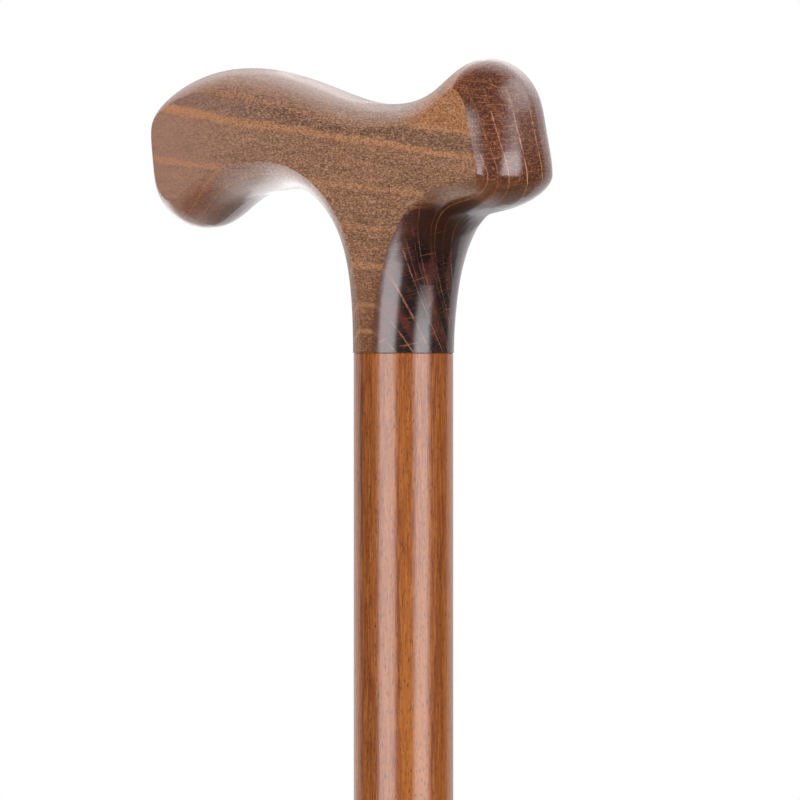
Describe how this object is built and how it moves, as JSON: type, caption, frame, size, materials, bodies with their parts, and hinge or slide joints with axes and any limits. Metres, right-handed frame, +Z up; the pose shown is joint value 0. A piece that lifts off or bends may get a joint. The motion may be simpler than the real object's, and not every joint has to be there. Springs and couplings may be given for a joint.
{
  "type": "single point walking cane",
  "caption": "Wooden walking cane with a flat-sided derby handle, a round tapered shaft and a push-on rubber foot.",
  "frame": {"origin": "centre of the ferrule's sole, on the shaft's axis, where the cane meets the floor", "axes": "+Z up along the shaft, +X towards the nose of the handle, +Y to the left of a person who looks along +X"},
  "size_m": [0.1205, 0.038, 0.9142],
  "materials": {
    "handle_wood": "satin",
    "shaft_wood": "gloss",
    "zinc_steel": "satin",
    "ferrule_rubber": "matte"
  },
  "bodies": {
    "foot": {"ferrule": "ferrule_rubber", "ferrule_washer": "zinc_steel"},
    "stick": {"shaft": "shaft_wood", "handle": "handle_wood", "joint_stud": "zinc_steel"}
  },
  "joints": [
    {"name": "ferrule_pull_off", "type": "slide", "parent": "foot", "child": "stick", "axis": [0, 0, 1], "range_m": [0, 0.045]}
  ]
}
